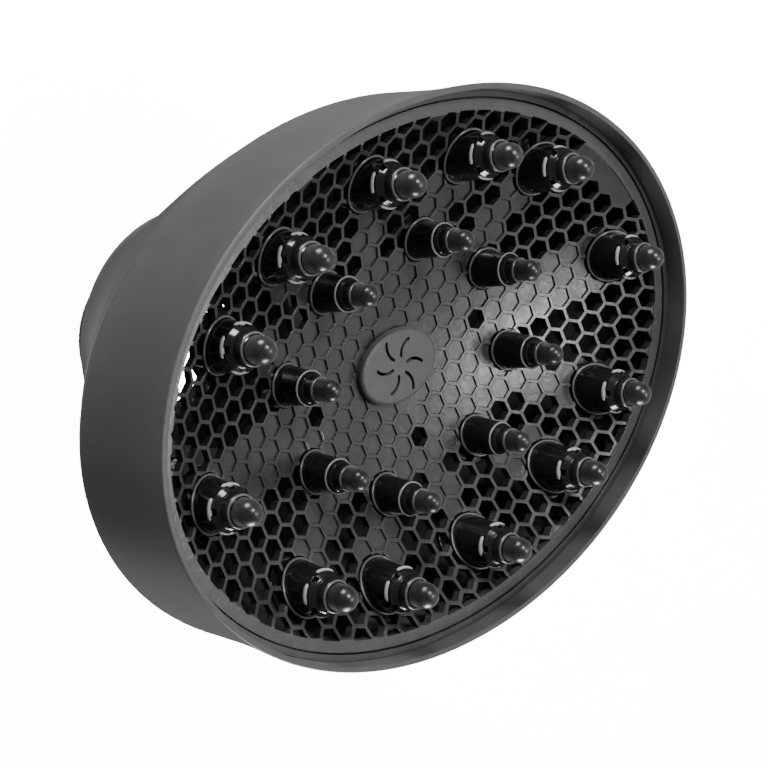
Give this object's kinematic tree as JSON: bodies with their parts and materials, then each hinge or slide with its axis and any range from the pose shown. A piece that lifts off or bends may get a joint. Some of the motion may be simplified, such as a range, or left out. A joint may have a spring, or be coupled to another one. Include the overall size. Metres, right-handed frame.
{
  "type": "hair dryer diffuser",
  "caption": "Oval hair dryer diffuser: deep bowl, dished honeycomb grille with soft-tipped fingers, and a slotted neck that turns in the bowl.",
  "frame": {"origin": "centre of the neck's mouth, in the plane of its rear face, which is also the middle of the bottom of the part", "axes": "+Z along the air path from the neck to the fingers; +X along the oval's long axis; +Y along its short axis"},
  "size_m": [0.1854, 0.1394, 0.1458],
  "materials": {
    "soft_touch": "soft-touch matte black",
    "seat": "semi-gloss black, moulded",
    "grille": "semi-gloss black, moulded",
    "cap": "fine matte dark grey",
    "neck_elastomer": "matte black elastomer",
    "friction_rubber": "plain black rubber",
    "screw_steel": "plain zinc",
    "finger_gloss": "high-gloss black",
    "tip_soft": "matte charcoal elastomer"
  },
  "bodies": {
    "bowl": {"outer_shell": "soft_touch", "seat_ring": "seat", "grille_plate": "grille", "centre_cap": "cap", "neck_retainer": "seat", "retainer_screws": "screw_steel", "finger_outer_01": "finger_gloss", "tip_outer_01": "tip_soft", "finger_outer_02": "finger_gloss", "tip_outer_02": "tip_soft", "finger_outer_03": "finger_gloss", "tip_outer_03": "tip_soft", "finger_outer_04": "finger_gloss", "tip_outer_04": "tip_soft", "finger_outer_05": "finger_gloss", "tip_outer_05": "tip_soft", "finger_outer_06": "finger_gloss", "tip_outer_06": "tip_soft", "finger_outer_07": "finger_gloss", "tip_outer_07": "tip_soft", "finger_outer_08": "finger_gloss", "tip_outer_08": "tip_soft", "finger_outer_09": "finger_gloss", "tip_outer_09": "tip_soft", "finger_outer_10": "finger_gloss", "tip_outer_10": "tip_soft", "finger_outer_11": "finger_gloss", "tip_outer_11": "tip_soft", "finger_outer_12": "finger_gloss", "tip_outer_12": "tip_soft", "finger_inner_01": "finger_gloss", "tip_inner_01": "tip_soft", "finger_inner_02": "finger_gloss", "tip_inner_02": "tip_soft", "finger_inner_03": "finger_gloss", "tip_inner_03": "tip_soft", "finger_inner_04": "finger_gloss", "tip_inner_04": "tip_soft", "finger_inner_05": "finger_gloss", "tip_inner_05": "tip_soft", "finger_inner_06": "finger_gloss", "tip_inner_06": "tip_soft", "finger_inner_07": "finger_gloss", "tip_inner_07": "tip_soft", "finger_inner_08": "finger_gloss", "tip_inner_08": "tip_soft"},
    "neck": {"neck_adaptor": "neck_elastomer", "friction_ring": "friction_rubber"}
  },
  "joints": [
    {"name": "neck_turn", "type": "hinge", "parent": "bowl", "child": "neck", "pos_m": [0, 0, 0.027], "axis": [0, 0, 1], "range_deg": [-90, 90]}
  ]
}
